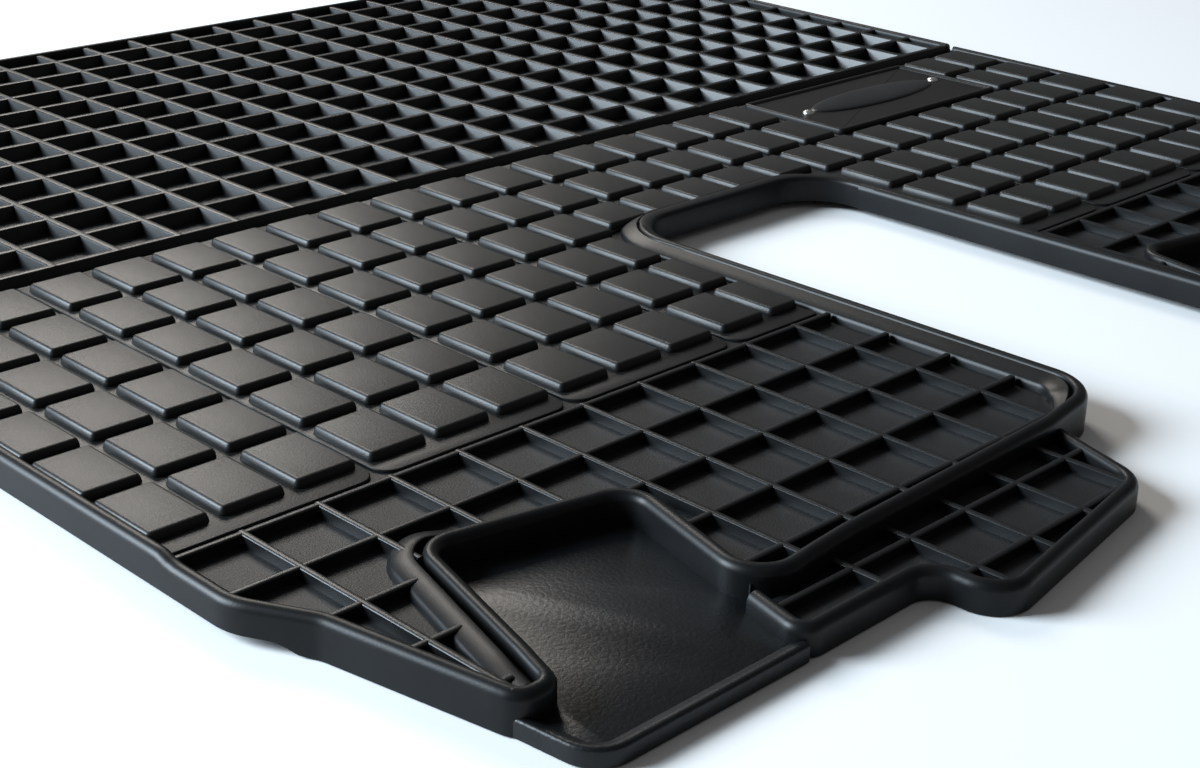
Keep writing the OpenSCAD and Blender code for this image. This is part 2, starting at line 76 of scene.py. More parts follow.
def farX(y):
    # outer face of the far side: the width grows evenly with y
    return mat["width"] + mat["flare"] * y


def smoothStep(t):
    # 3t^2 - 2t^3 of t held between 0 and 1
    t = np.clip(t, 0, 1)
    return t * t * (3 - 2 * t)


def roundedLine(corners, spacing=4.0, closed=False):
    # straight runs between corners (x, y, radius), an arc of that radius in each corner,
    # and extra points so that no step is longer than spacing
    runs = []
    count = len(corners)
    for i, (x, y, radius) in enumerate(corners):
        here = np.array([x, y], float)
        if radius == 0 or (not closed and i in (0, count - 1)):
            runs.append(here[None])
            continue
        before = np.array(corners[i - 1][:2], float) - here
        after = np.array(corners[(i + 1) % count][:2], float) - here
        before /= np.linalg.norm(before)
        after /= np.linalg.norm(after)
        half = math.acos(float(np.clip(before @ after, -1, 1))) / 2
        middle = here + (before + after) / np.linalg.norm(before + after) * radius / math.sin(half)
        start = here + before * radius / math.tan(half) - middle
        turn = 1 if before[0] * after[1] - before[1] * after[0] < 0 else -1
        sweepAngle = turn * (math.pi - 2 * half)
        steps = max(4, int(radius * abs(sweepAngle) / 1.6) + 2)
        angles = math.atan2(start[1], start[0]) + sweepAngle * np.linspace(0, 1, steps)
        runs.append(middle + radius * np.stack([np.cos(angles), np.sin(angles)], 1))
    line = np.concatenate(runs)
    if closed:
        line = np.concatenate([line, line[:1]])
    filled = [line[:1]]
    for a, b in zip(line[:-1], line[1:]):
        steps = max(1, math.ceil(np.linalg.norm(b - a) / spacing))
        filled.append(a + (b - a) * (np.arange(1, steps + 1) / steps)[:, None])
    line = np.concatenate(filled)
    return line[:-1] if closed else line


def leftward(line, closed=False):
    # at each point, the left-hand normal of the two runs that meet there, as long as the mitre needs
    ahead = (np.roll(line, -1, 0) - line) if closed else np.diff(line, axis=0)
    ahead = ahead / np.linalg.norm(ahead, axis=1, keepdims=True)
    normal = np.stack([-ahead[:, 1], ahead[:, 0]], 1)
    first = np.roll(normal, 1, 0) if closed else np.concatenate([normal[:1], normal])
    second = normal if closed else np.concatenate([normal, normal[-1:]])
    middle = first + second
    middle /= np.linalg.norm(middle, axis=1, keepdims=True)
    return middle / np.clip((middle * first).sum(1, keepdims=True), 0.4, 1)


def beside(line, distance):
    # the line moved to its left by the distance, which may differ from point to point
    return line + leftward(line) * np.reshape(distance, (-1, 1))


def ringFaces(rings, around):
    # quads between each ring of points and the next, and one face over each end ring
    u, v = np.meshgrid(np.arange(rings - 1), np.arange(around), indexing="ij")
    nextV = (v + 1) % around
    quads = np.stack([u * around + v, u * around + nextV, (u + 1) * around + nextV, (u + 1) * around + v], -1)
    ends = [list(range(around))[::-1], [(rings - 1) * around + i for i in range(around)]]
    return quads.reshape(-1, 4).tolist() + ends


def carried(line, profile):
    # the closed profile (d, z) carried along the line: d runs to the line's left
    profile = np.asarray(profile, float)
    profile = np.broadcast_to(profile, (len(line),) + profile.shape[-2:])
    flat = line[:, None] + leftward(line)[:, None] * profile[..., :1]
    points = np.concatenate([flat, profile[..., 1:]], -1)
    return points.reshape(-1, 3), ringFaces(len(line), profile.shape[1])


def stacked(outline, levels):
    # rings of the outline at each (z, inset), one above another, closed at the bottom and the top
    area = np.sum(outline[:, 0] * np.roll(outline[:, 1], -1) - np.roll(outline[:, 0], -1) * outline[:, 1])
    if area < 0:
        outline = outline[::-1]
    inward = leftward(outline, closed=True)
    rings = [np.column_stack([outline + inward * inset, np.full(len(outline), z)]) for z, inset in levels]
    return np.concatenate(rings), ringFaces(len(levels), len(outline))


def joined(parts):
    # several (points, faces) as one, with the face numbers moved on
    points, faces, start = [], [], 0
    for partPoints, partFaces in parts:
        points.append(partPoints)
        faces += [[start + i for i in face] for face in partFaces]
        start += len(partPoints)
    return np.concatenate(points), faces


def makePiece(name, shape, finish, body="front_section", nodes=(), sharp=40, bends=False):
    # (points, faces) in layout millimetres as a mesh that rides on its body, or stands in the frame on its
    # own, attached to neither body
    points, faces = shape
    mesh = bpy.data.meshes.new(name)
    mesh.from_pydata(toFrame(points).tolist(), [], faces)
    work = bmesh.new()
    work.from_mesh(mesh)
    bmesh.ops.recalc_face_normals(work, faces=work.faces)
    work.to_mesh(mesh)
    work.free()
    mesh.shade_smooth()
    mesh.set_sharp_from_angle(angle=math.radians(sharp))
    mesh.materials.append(finishes[finish])
    piece = bpy.data.objects.new(name, mesh)
    bpy.context.scene.collection.objects.link(piece)
    if bends:
        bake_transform(piece)
    else:
        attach(piece, body)
    if nodes:
        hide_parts(*nodes)
    return piece


# Finishes: each rubber is nearly black, a little uneven in shade, with a fine grain raised on it; its colour
# also carries a painted reflection tint, bluish on most pieces, faintly warm on the tread, none on the badge
# panel and studs.
rubberLooks = {
    "floor_rubber": {"dark": 0.005, "light": 0.010, "tint": (0.92, 1.0, 1.1), "rough": 0.50, "shine": 0.30,
                     "grain": 0.26},
    "tray_rubber": {"dark": 0.006, "light": 0.012, "tint": (0.85, 1.0, 1.16), "rough": 0.40, "shine": 0.62,
                    "grain": 0.12},
    "rim_rubber": {"dark": 0.004, "light": 0.007, "tint": (0.9, 1.0, 1.1), "rough": 0.40, "shine": 0.20,
                   "grain": 0.08},
    "rib_rubber": {"dark": 0.005, "light": 0.009, "tint": (0.9, 1.0, 1.1), "rough": 0.36, "shine": 0.30,
                   "grain": 0.10},
    "tread_rubber": {"dark": 0.007, "light": 0.012, "tint": (1.0, 1.0, 0.98), "rough": 0.42, "shine": 0.30,
                     "grain": 0.18},
    "pocket_rubber": {"dark": 0.004, "light": 0.009, "tint": (0.85, 1.0, 1.16), "rough": 0.38, "shine": 0.28,
                      "grain": 0.15},
    "badge_panel": {"dark": 0.004, "light": 0.006, "tint": (1.0, 1.0, 1.0), "rough": 0.45, "shine": 0.25,
                    "grain": 0.05},
    "badge_oval": {"dark": 0.008, "light": 0.012, "tint": (0.94, 1.0, 1.06), "rough": 0.34, "shine": 0.30,
                   "grain": 0.03},
    "stud_rubber": {"dark": 0.005, "light": 0.008, "tint": (1.0, 1.0, 1.0), "rough": 0.55, "shine": 0.25,
                    "grain": 0.20},
}
# the patterns that all of them share: patches of shade, raised grain and the pockets' creases
pattern = {
    "patchScale": 38.0, "patchStart": 0.35, "patchEnd": 0.7, "grainScale": 1500.0,
    "creaseScale": 420.0, "creases": 0.22, "height": 0.0004,
}
pinLooks = {
    "colour": (0.62, 0.62, 0.6, 1), "rough": 0.34, "wearScale": 2200.0, "wear": 0.08, "height": 0.0002}


def addNode(tree, kind, **inputs):
    # a new node with its inputs set by name; _ stands for a space
    node = tree.nodes.new(kind)
    for key, value in inputs.items():
        node.inputs[key.replace("_", " ")].default_value = value
    return node


def makeRubber(name, look, wrinkles=False):
    # dark mixed with light by a soft noise, both tinted with the painted reflection colour; a fine noise, and
    # creases where asked, tilt the surface
    material = bpy.data.materials.new(name)
    material.use_nodes = True
    tree = material.node_tree
    shader = tree.nodes["Principled BSDF"]
    shader.inputs["Roughness"].default_value = look["rough"]
    shader.inputs["Specular IOR Level"].default_value = look["shine"]
    place = tree.nodes.new("ShaderNodeTexCoord").outputs["Object"]
    patches = addNode(tree, "ShaderNodeTexNoise", Scale=pattern["patchScale"], Detail=5.0, Roughness=0.6)
    shade = tree.nodes.new("ShaderNodeValToRGB")
    # both stops are multiplied by the painted reflection tint, a cast of reflected light painted into the
    # colour
    for stop, key in zip(shade.color_ramp.elements, ("dark", "light")):
        stop.color = tuple(look[key] * part for part in look["tint"]) + (1,)
    shade.color_ramp.elements[0].position = pattern["patchStart"]
    shade.color_ramp.elements[1].position = pattern["patchEnd"]
    grain = addNode(tree, "ShaderNodeTexNoise", Scale=pattern["grainScale"], Detail=3.0, Roughness=0.55)
    raised = addNode(tree, "ShaderNodeBump", Strength=look["grain"], Distance=pattern["height"])
    tree.links.new(place, patches.inputs["Vector"])
    tree.links.new(place, grain.inputs["Vector"])
    tree.links.new(patches.outputs["Fac"], shade.inputs["Fac"])
    tree.links.new(shade.outputs["Color"], shader.inputs["Base Color"])
    tree.links.new(grain.outputs["Fac"], raised.inputs["Height"])
    if wrinkles:
        creases = addNode(tree, "ShaderNodeTexVoronoi", Scale=pattern["creaseScale"], Randomness=1.0)
        creases.feature = "DISTANCE_TO_EDGE"
        folds = addNode(tree, "ShaderNodeBump", Strength=pattern["creases"], Distance=pattern["height"])
        tree.links.new(place, creases.inputs["Vector"])
        tree.links.new(creases.outputs["Distance"], folds.inputs["Height"])
        tree.links.new(folds.outputs["Normal"], raised.inputs["Normal"])
    tree.links.new(raised.outputs["Normal"], shader.inputs["Normal"])
    return material


def makeMetal(name):
    # plain metal with fine wear on it
    material = bpy.data.materials.new(name)
    material.use_nodes = True
    tree = material.node_tree
    shader = tree.nodes["Principled BSDF"]
    shader.inputs["Base Color"].default_value = pinLooks["colour"]
    shader.inputs["Metallic"].default_value = 1.0
    shader.inputs["Roughness"].default_value = pinLooks["rough"]
    place = tree.nodes.new("ShaderNodeTexCoord").outputs["Object"]
    wear = addNode(tree, "ShaderNodeTexNoise", Scale=pinLooks["wearScale"], Detail=2.0)
    raised = addNode(tree, "ShaderNodeBump", Strength=pinLooks["wear"], Distance=pinLooks["height"])
    tree.links.new(place, wear.inputs["Vector"])
    tree.links.new(wear.outputs["Fac"], raised.inputs["Height"])
    tree.links.new(raised.outputs["Normal"], shader.inputs["Normal"])
    return material


finishes = {
    name: makeRubber(name, look, wrinkles=name == "pocket_rubber") for name, look in rubberLooks.items()}
finishes["pin_metal"] = makeMetal("pin_metal")
print("finishes made")

# The slabs between the raised forms are the frame's own.
for name in ("near_floor", "far_floor", "heel_floor_rear", "heel_floor_near", "heel_floor_far", "step_flap",
             "rear_tray"):
    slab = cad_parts[name]
    finish = "tray_rubber" if name == "rear_tray" else "floor_rubber"
    slab.data.materials.clear()
    slab.data.materials.append(finishes[finish])

# Lines of the rims, each with the mat on its left.
# The near rim's line is its middle: down the left side, round the tip of the tongue, round the pocket,
# along the near end and up the slot's near side.
groove, rearStart, rearEnd, nearEnd = mat["groove"], mat["rearStart"], mat["rearEnd"], mat["nearEnd"]
slotNear, slotFar, slotEnd, slotRadius = mat["slotNear"], mat["slotFar"], mat["slotEnd"], mat["slotRadius"]
nearLine = roundedLine([
    (2.5, groove, 0), (2.5, -28, 21), (14.9, -51, 16), (26.9, -114.2, 5.5), (37.2, -114.2, 4.5),
    (58.6, -38.2, 11), (129, -52.5, 11), (111.6, -117.6, 12), (131, -116, 20), (155, -113.9, 60),
    (264, -110.5, 30), (301.3, -104.7, 19.4), (301.3, 122.2, 26.6), (330, 123.8, 0)])
# the points nearest the tongue's tip and the end of the pocket's wall
tip = np.argmin(np.abs(nearLine - [32, -114.2]).sum(1))
mouthEnd = np.argmin(np.abs(nearLine - [118, -110]).sum(1))
pocketLine = nearLine[tip + 3:mouthEnd]
slotEndLine = roundedLine([
    (slotNear, 84, 0), (slotNear, slotEnd, slotRadius), (slotFar, slotEnd, slotRadius), (slotFar, 84, 0)])
slotFarLine = roundedLine([(slotFar, 92, 0), (slotFar, -112, 0)])
farPocketLine = roundedLine([(424.5, -114.3, 0), (442, -38.2, 11), (512.1, -52.5, 11), (494.7, -114.3, 0)])
farLine = roundedLine([
    (492, -114.5, 0), (492.2, nearEnd, 1), (farX(nearEnd), nearEnd, 22), (farX(groove), groove, 0)])
rearLine = roundedLine([
    (farX(rearStart), rearStart, 0), (farX(rearEnd), rearEnd, 22), (0, rearEnd, 22), (0, rearStart, 0)])
lipLine = roundedLine([(24.8, -112, 0), (28, -140.5, 12), (106.5, -140.5, 0)])
farLipLine = roundedLine([(slotFar, -112, 0), (426, -140.5, 9), (488, -140.5, 6), (492, -119, 0)])
flapLine = roundedLine([
    (109.2, -115.6, 0), (103, -140.5, 7), (160, -140, 8), (160.5, -166.5, 13), (257, -151.1, 15),
    (270.5, -113, 0)])

# One profile serves every rim: a wall, a small bevel, a rounded top and the inner side.
beadShape = np.array([  # share of the width, depth below the top
    (0.00, 2.9), (0.05, 1.9), (0.16, 1.0), (0.30, 0.4), (0.46, 0.08), (0.60, 0.0), (0.75, 0.12),
    (0.88, 0.55), (0.96, 1.3), (1.00, 2.4)])


def beadProfile(width, top, bottom, outside=0.0):
    # beadShape scaled to the width, hung under top, and closed down to bottom; outside moves it sideways
    columns = [np.reshape(value, (-1, 1)) for value in (top, bottom, width, outside)]
    top, bottom, width, outside = np.broadcast_arrays(*columns)
    d = outside + width * beadShape[None, :, 0]
    z = top - beadShape[None, :, 1]
    d = np.concatenate([outside, d, outside + width], 1)
    z = np.concatenate([bottom, z, bottom], 1)
    return np.stack([d, z], -1)


rims = {
    "width": 5.0, "nearWidth": 5.2, "rearWidth": 5.4, "tongueTop": 12.6, "stepStart": 4.0, "stepLength": 7.0,
    "tipSteps": 10, "endRiseFrom": 112.0, "endRise": 30.0, "slotDrop": 0.6, "slotDropFrom": 301.5,
    "slotDropLength": 20.0, "hemEnd": -47.0, "farHemEnd": -96.0, "hemLength": 8.0, "slotHemFrom": 290.0,
    "slotHemLength": 10.0,
}


def makeRims():
    # beadProfile carried along each rim's line; top and bottom change along it by smooth steps
    x, y = nearLine.T
    leftSide = np.arange(len(x)) <= tip
    low, middle, high = rims["tongueTop"], mat["pocketRim"], mat["rim"]
    # the top drops past the ledge, rises a little round the tip, rises again along the near end
    # and sinks where the line turns behind the slot
    step = smoothStep((y - mat["ledge"] + rims["stepStart"]) / rims["stepLength"])
    top = np.where(leftSide, low + (high - low) * step, middle)
    roundTip = smoothStep((np.arange(len(x)) - tip) / rims["tipSteps"])
    top = np.where((y < -100) & (x < 45), low + (middle - low) * roundTip, top)
    top = top + (high - middle) * smoothStep((x - rims["endRiseFrom"]) / rims["endRise"]) * ~leftSide
    top = top - rims["slotDrop"] * smoothStep((x - rims["slotDropFrom"]) / rims["slotDropLength"])
    # it reaches the ground at the tongue and hangs clear of it elsewhere
    leftHem = leftSide * smoothStep((y - rims["hemEnd"]) / rims["hemLength"])
    slotHem = smoothStep((x - rims["slotHemFrom"]) / rims["slotHemLength"])
    bottom = mat["hem"] * np.maximum(leftHem, slotHem)
    thick = rims["nearWidth"]
    makePiece("nearRim", carried(nearLine, beadProfile(thick, top, bottom, -thick / 2)), "rim_rubber",
              nodes=["left_rim", "near_pocket_wall", "near_end_rim", "slot_near_rim"])
    makePiece("slotFarRim", carried(slotFarLine, beadProfile(rims["width"], mat["rim"], mat["hem"])),
              "rim_rubber", nodes=["slot_far_rim"])
    makePiece("farPocketRim", carried(farPocketLine, beadProfile(thick, mat["pocketRim"], 0, -thick / 2)),
              "rim_rubber", nodes=["far_pocket_wall"])
    bottom = mat["hem"] * smoothStep((farLine[:, 1] - rims["farHemEnd"]) / rims["hemLength"])
    makePiece("farRim", carried(farLine, beadProfile(rims["width"], mat["rim"], bottom)), "rim_rubber",
              nodes=["far_end_rim", "far_rim"])
    makePiece("rearRim", carried(rearLine, beadProfile(rims["rearWidth"], mat["rearRim"], mat["hem"])),
              "rim_rubber", body="rear_section", nodes=["rear_left_rim", "rear_end_rim", "rear_far_rim"])
    makePiece("flapRim", carried(flapLine, beadProfile(rims["width"], mat["flapRim"], 0)), "rim_rubber",
              nodes=["flap_rim"])


makeRims()
print("rims made")

# The kerb beside the gutter: steep on the floor's side, its top falling away from the gutter.
kerb = {
    "gutter": 6.3, "width": 7.0, "tops": (11.9, 14.0), "foot": 8.5,
    "taperFrom": 294.0, "taper": 24.0, "taperShift": 3.5, "taperWidth": 0.75, "taperDrop": 0.4,
}
pocketKerbLooks = {
    "near": 3.9, "far": 11.2, "tops": (11.4, 13.1), "headShare": 0.12, "headDrop": 0.22,
    "tailFrom": 0.72, "tailShift": 4.2, "tailDrop": 0.55,
}
# the band round the slot's end: distance to the left and height; it is slimmer at the slot's sides
bandShape = np.array([
    (0, 3), (0, 12.4), (0.35, 13.4), (1.0, 14.0), (2.0, 14.25), (5.8, 14.3), (6.8, 14.05), (7.3, 13.3),
    (7.4, 10), (7.4, 3)])
band = {
    "slimNear": 305.0, "slimFar": 421.0, "slimLength": 14.0, "slimWidth": 0.35, "shift": 0.4, "drop": 0.35}


def kerbProfile(near, far, tops, base):
    # near and far are distances to the line's left; the top rises from the far side to the near side
    low, high = tops
    span = far - near
    return np.array([
        (near, base), (near, high - 0.9), (near + 0.25, high - 0.2), (near + 0.7, high),
        (near + span * 0.45, low + (high - low) * 0.62), (far - 0.9, low + 0.15), (far - 0.2, low - 0.5),
        (far + 0.2, low - 1.6), (far + 0.5, base)])


def makeKerbs():
    # kerbProfile carried beside the slot and the pocket, and bandShape round the slot's end
    slotKerb = roundedLine([
        (262, -113.1, 0), (slotNear, -107, 22), (slotNear, slotEnd, slotRadius), (328, 119.5, 0)])
    near, foot = kerb["gutter"], kerb["foot"]
    flat = kerbProfile(near, near + kerb["width"], kerb["tops"], foot)
    profile = np.repeat(flat[None], len(slotKerb), 0)
    # it narrows and sinks into the near end's rim as it comes round the corner
    x, y = slotKerb.T
    sink = (smoothStep((kerb["taperFrom"] - x) / kerb["taper"]) * (y < 0))[:, None]
    slimmer = (profile[..., 0] - near) * (1 - kerb["taperWidth"] * sink)
    profile[..., 0] = near - kerb["taperShift"] * sink + slimmer
    profile[..., 1] -= sink * np.clip(profile[..., 1] - foot, 0, None) * kerb["taperDrop"]
    makePiece("slotKerb", carried(slotKerb, profile), "rim_rubber")
    # the pocket's kerb starts a little lower at the tongue's tip and sinks into the wall at its other end
    looks = pocketKerbLooks
    pocketKerb = roundedLine([(35.6, -113.2, 0), (57.5, -38.2, 11), (84, -43.7, 0)])
    along = np.linspace(0, 1, len(pocketKerb))
    flat = kerbProfile(looks["near"], looks["far"], looks["tops"], foot)
    profile = np.repeat(flat[None], len(pocketKerb), 0)
    tail = smoothStep((along - looks["tailFrom"]) / (1 - looks["tailFrom"]))[:, None]
    head = smoothStep(1 - along / looks["headShare"])[:, None]
    profile[..., 0] -= tail * looks["tailShift"]
    lower = tail * looks["tailDrop"] + head * looks["headDrop"]
    profile[..., 1] -= lower * np.clip(profile[..., 1] - foot, 0, None)
    makePiece("pocketKerb", carried(pocketKerb, profile), "rim_rubber")
    x = slotEndLine[:, 0]
    profile = np.repeat(bandShape[None], len(slotEndLine), 0)
    slim = smoothStep((x - band["slimNear"]) / band["slimLength"])
    slim = (1 - slim * smoothStep((band["slimFar"] - x) / band["slimLength"]))[:, None]
    profile[..., 0] = profile[..., 0] * (1 - band["slimWidth"] * slim) + band["shift"] * slim
    profile[..., 1] -= band["drop"] * slim * (profile[..., 1] > 12)
    makePiece("slotEndBand", carried(slotEndLine, profile), "rim_rubber", nodes=["slot_end_rim"])


makeKerbs()
print("kerbs made")

# Ribs are drafted bars with soft tops; a field is the two sets of bars cut to an outline.
toeRibs = {
    "pitch": 27.0, "columns": 25, "rows": 5, "top": 2.2, "base": 2.5, "soft": 0.4, "foot": 0.15}
flapRibs = {"first": 144.0, "columns": 5, "rows": (-124.6, -148.1)}
rearRibs = {
    "pitchX": 28.3, "firstX": 16.6, "columns": 24, "pitchY": 26.0, "rows": 12, "top": 3.5, "base": 4.1,
    "soft": 0.45, "foot": 0.3}
fieldEdges = {"kerbReach": 8.5, "kerbEnd": 60.0, "kerbLength": 8.0, "nearSlot": 289.0, "farSlot": 424.5,
              "rim": 2.5, "rearRim": 2.7, "shortest": 3.0, "step": 0.04}


def barProfile(look, floor, top):
    # mirrored about the bar's middle: foot, fillet, drafted side, rounded shoulder, top
    base, crest, soft = look["base"] / 2, look["top"] / 2, look["soft"]
    foot = base + look["foot"]
    side = [(foot, floor - 0.4), (foot, floor + 0.05), (base + 0.05, floor + 0.45),
            (crest + 0.12, top - soft), (crest - 0.12, top - soft * 0.35), (crest - soft, top)]
    return np.array(side + [(-d, z) for d, z in side[::-1]])


def crossings(outline, axis, value):
    # where the line on which that coordinate is value crosses the outline, in order, taken in pairs
    ahead = np.roll(outline, -1, 0)
    crossed = (outline[:, axis] - value) * (ahead[:, axis] - value) < 0
    a, b = outline[crossed], ahead[crossed]
    share = (value - a[:, axis]) / (b[:, axis] - a[:, axis])
    hits = np.sort(a[:, 1 - axis] + share * (b[:, 1 - axis] - a[:, 1 - axis]))
    return hits[: len(hits) // 2 * 2].reshape(-1, 2)


def barField(outline, xs, ys, look, floor, top):
    # a bar along every x of xs and y of ys where it lies inside the outline; one set is a hair lower
    bars = []
    for axis, places in ((0, xs), (1, ys)):
        for place in places:
            for low, high in crossings(outline, axis, place + 0.013):
                if high - low < fieldEdges["shortest"]:
                    continue
                ends = np.full((2, 2), float(place))
                ends[:, 1 - axis] = low, high
                bars.append(carried(ends, barProfile(look, floor, top - fieldEdges["step"] * axis)))
    return joined(bars)


def makeRibs():
    # each field is an outline filled with bars at even steps
    ledge, pitch, edges = mat["ledge"], toeRibs["pitch"], fieldEdges
    xs = pitch + pitch * np.arange(toeRibs["columns"])
    ys = ledge - toeRibs["top"] / 2 - pitch * np.arange(toeRibs["rows"])
    leftSide = nearLine[:tip]
    leftSide = leftSide[leftSide[:, 1] < ledge]
    # beside the pocket's kerb the ribs stop further from the wall
    reach = np.clip((edges["kerbEnd"] - pocketLine[:, 0]) / edges["kerbLength"], 0, 1) * edges["kerbReach"]
    pocketSide = beside(pocketLine, reach)[3:]
    endSide = nearLine[(nearLine[:, 1] < -104) & (nearLine[:, 0] > 118) & (nearLine[:, 0] < 285)]
    outline = np.concatenate([
        [[edges["rim"], ledge]], leftSide, pocketSide, endSide,
        [[edges["nearSlot"], -96], [edges["nearSlot"], ledge]]])
    makePiece("nearRibs", barField(outline, xs, ys, toeRibs, mat["toeFloor"], mat["toeRib"]), "rib_rubber",
              nodes=["near_ledge_ribs", "near_side_ribs", "near_rib_grid"])
    farSide = beside(farLine, edges["rim"])
    farSide = farSide[(farSide[:, 1] < ledge) & (farSide[:, 0] > 497)]
    outline = np.concatenate([
        [[edges["farSlot"], ledge], [edges["farSlot"], -110]], farPocketLine, farSide,
        [[farX(0) - edges["rim"], ledge]]])
    makePiece("farRibs", barField(outline, xs, ys, toeRibs, mat["toeFloor"], mat["toeRib"]), "rib_rubber",
              nodes=["far_ledge_ribs", "far_rib_grid"])
    outline = np.concatenate([beside(flapLine, edges["rim"]), [[264, -111], [131, -116.2]]])
    xs = flapRibs["first"] + pitch * np.arange(flapRibs["columns"])
    makePiece("flapRibs", barField(outline, xs, flapRibs["rows"], toeRibs, mat["flapFloor"], mat["flapRib"]),
              "rib_rubber", nodes=["flap_ribs"])
    xs = rearRibs["firstX"] + rearRibs["pitchX"] * np.arange(rearRibs["columns"])
    ys = rearStart + rearRibs["top"] / 2 + rearRibs["pitchY"] * np.arange(rearRibs["rows"])
    start, edge = rearStart + 0.2, edges["rearRim"]
    outline = np.concatenate([beside(rearLine, edge), [[edge, start], [farX(rearStart) - edge, start]]])
    makePiece("rearRibs", barField(outline, xs, ys, rearRibs, mat["rearFloor"], mat["rearRib"]),
              "rib_rubber", body="rear_section", nodes=["rear_rib_grid"])


makeRibs()
print("ribs made")

# Tread strips: a thin plate with three columns of soft-edged blocks on it.
tread = {
    "start": 2.5, "strip": 81.0, "column": 26.5, "row": 34.75, "firstRow": 14.6, "rows": 6,
    "blockWidth": 23.0, "blockLength": 30.2, "corner": 2.0, "narrowest": 3.0,
    "plateStart": 6.0, "plateCorner": 7.0, "plateLap": 1.9, "plateWidth": 77.5, "side": 4.0, "rearGap": 0.5,
    "plateNearSlot": 288.0, "plateFarSlot": 426.0, "plateBand": 5.0, "bandCorner": 14.0,
    "leftGap": 4.2, "farGap": 4.4, "nearSlotBlocks": 287.6, "farSlotBlocks": 436.0,
    "bandFrom": 296.0, "bandTo": 430.0, "bandGap": 5.5,
}
# rings of a block and of a plate: height, inset
blockLevels = [(10.9, 0.0), (11.6, 0.0), (12.4, 0.18), (13.3, 0.5), (13.85, 0.85), (14.1, 1.3), (14.2, 1.9)]
plateLevels = [(10.0, 0.0), (10.9, 0.0), (11.12, 0.12), (11.2, 0.4)]
badge = {"x": 488.5, "y": 153.6, "width": 130.5, "length": 64.95, "corner": 3.0, "depth": 1.2}


def stripPlate(number, x0):
    # the near edge of each strip's plate, from left to right, closed along the groove
    left, right = x0 - tread["plateLap"], x0 + tread["plateWidth"]
    start, corner = tread["plateStart"], tread["plateCorner"]
    rear, behind, side = groove - tread["rearGap"], slotEnd + tread["plateBand"], tread["side"]
    nearSlot, farSlot, bend = tread["plateNearSlot"], tread["plateFarSlot"], tread["bandCorner"]
    firstX, lastX = left, right
    nearEdge = [(left, start, corner), (right, start, corner)]
    if number == 0:
        firstX = side
        nearEdge[0] = (side, start, 0)
    elif number == 3:
        nearEdge = [(left, start, corner), (nearSlot, start, 0), (nearSlot, behind, bend), (right, behind, 0)]
    elif number == 4:
        nearEdge = [(left, behind, 0), (right, behind, 0)]
    elif number == 5:
        nearEdge = [(left, behind, 0), (farSlot, behind, bend), (farSlot, start, 0), (right, start, corner)]
    elif number == 8:
        lastX = farX(rear) - side
        nearEdge[1] = (farX(start) - side, start, 0)
    corners = nearEdge + [(lastX, rear, 0), (firstX, rear, 0)]
    return stacked(roundedLine(corners, spacing=30, closed=True), plateLevels)


def blockSpans(number, column, row):
    # the block's own rectangle, cut back at the rims, the kerb and the slot, or None where there is none
    x0 = tread["start"] + number * tread["strip"] + column * tread["column"]
    y0 = tread["firstRow"] + row * tread["row"]
    x1, y1 = x0 + tread["blockWidth"], y0 + tread["blockLength"]
    x0, x1 = max(x0, tread["leftGap"]), min(x1, farX(y0) - tread["farGap"])
    if row >= tread["rows"] - 2 and badge["x"] - 1 < x0 < badge["x"] + badge["width"]:
        return None
    nearSlot, farSlot = tread["nearSlotBlocks"], tread["farSlotBlocks"]
    if row < 3:
        if nearSlot < x0 < tread["plateFarSlot"]:
            return None
        if x0 < nearSlot < x1:
            x1 = nearSlot
        if x0 < farSlot < x1:
            x0 = farSlot
    if row == 3 and tread["bandFrom"] < x1 and x0 < tread["bandTo"]:
        y0 = slotEnd + tread["bandGap"]
    return (x0, x1, y0, y1) if x1 - x0 > tread["narrowest"] else None


def makeTread():
    # each strip is its plate with three columns of blocks on it, all of them stacked rings
    for number in range(9):
        x0 = tread["start"] + number * tread["strip"]
        shapes = [stripPlate(number, x0)]
        for column in range(3):
            for row in range(tread["rows"]):
                spans = blockSpans(number, column, row)
                if spans is None:
                    continue
                left, right, near, far = spans
                corner = tread["corner"]
                outline = roundedLine([
                    (left, near, corner), (right, near, corner), (right, far, corner), (left, far, corner)],
                    40, True)
                shapes.append(stacked(outline, blockLevels))
        makePiece(f"treadStrip{number + 1}", joined(shapes), "tread_rubber",
                  nodes=[f"tread_strip_{number + 1}"], sharp=50)


makeTread()
print("tread made")

# Badge: a panel with a sunk middle, a blank domed oval and a round pin at each of its ends.
oval = {
    "length": 97.0, "width": 25.0, "height": 1.9, "fullness": 2.6, "right": 2.0, "share": 0.52,
    "pin": 6.0, "pinHeight": 1.6, "pinFullness": 2.0, "gap": 1.0}


def domed(middle, length, width, base, height, power):
    # ellipse rings whose radius shrinks from 1 to 0 while the height grows as (1 - radius^power)^(1/power)
    radius = np.array([1, 1, 0.985, 0.95, 0.88, 0.76, 0.6, 0.4, 0.2, 0.05])
    lift = (1 - radius ** power) ** (1 / power) * height
    lift[0] = -0.8
    turn = np.linspace(0, 2 * np.pi, 64, endpoint=False)
    x = middle[0] + length / 2 * radius[:, None] * np.cos(turn)
    y = middle[1] + width / 2 * radius[:, None] * np.sin(turn)
    z = np.broadcast_to(base + lift[:, None], x.shape)
    return np.stack([x, y, z], -1).reshape(-1, 3), ringFaces(len(radius), len(turn))


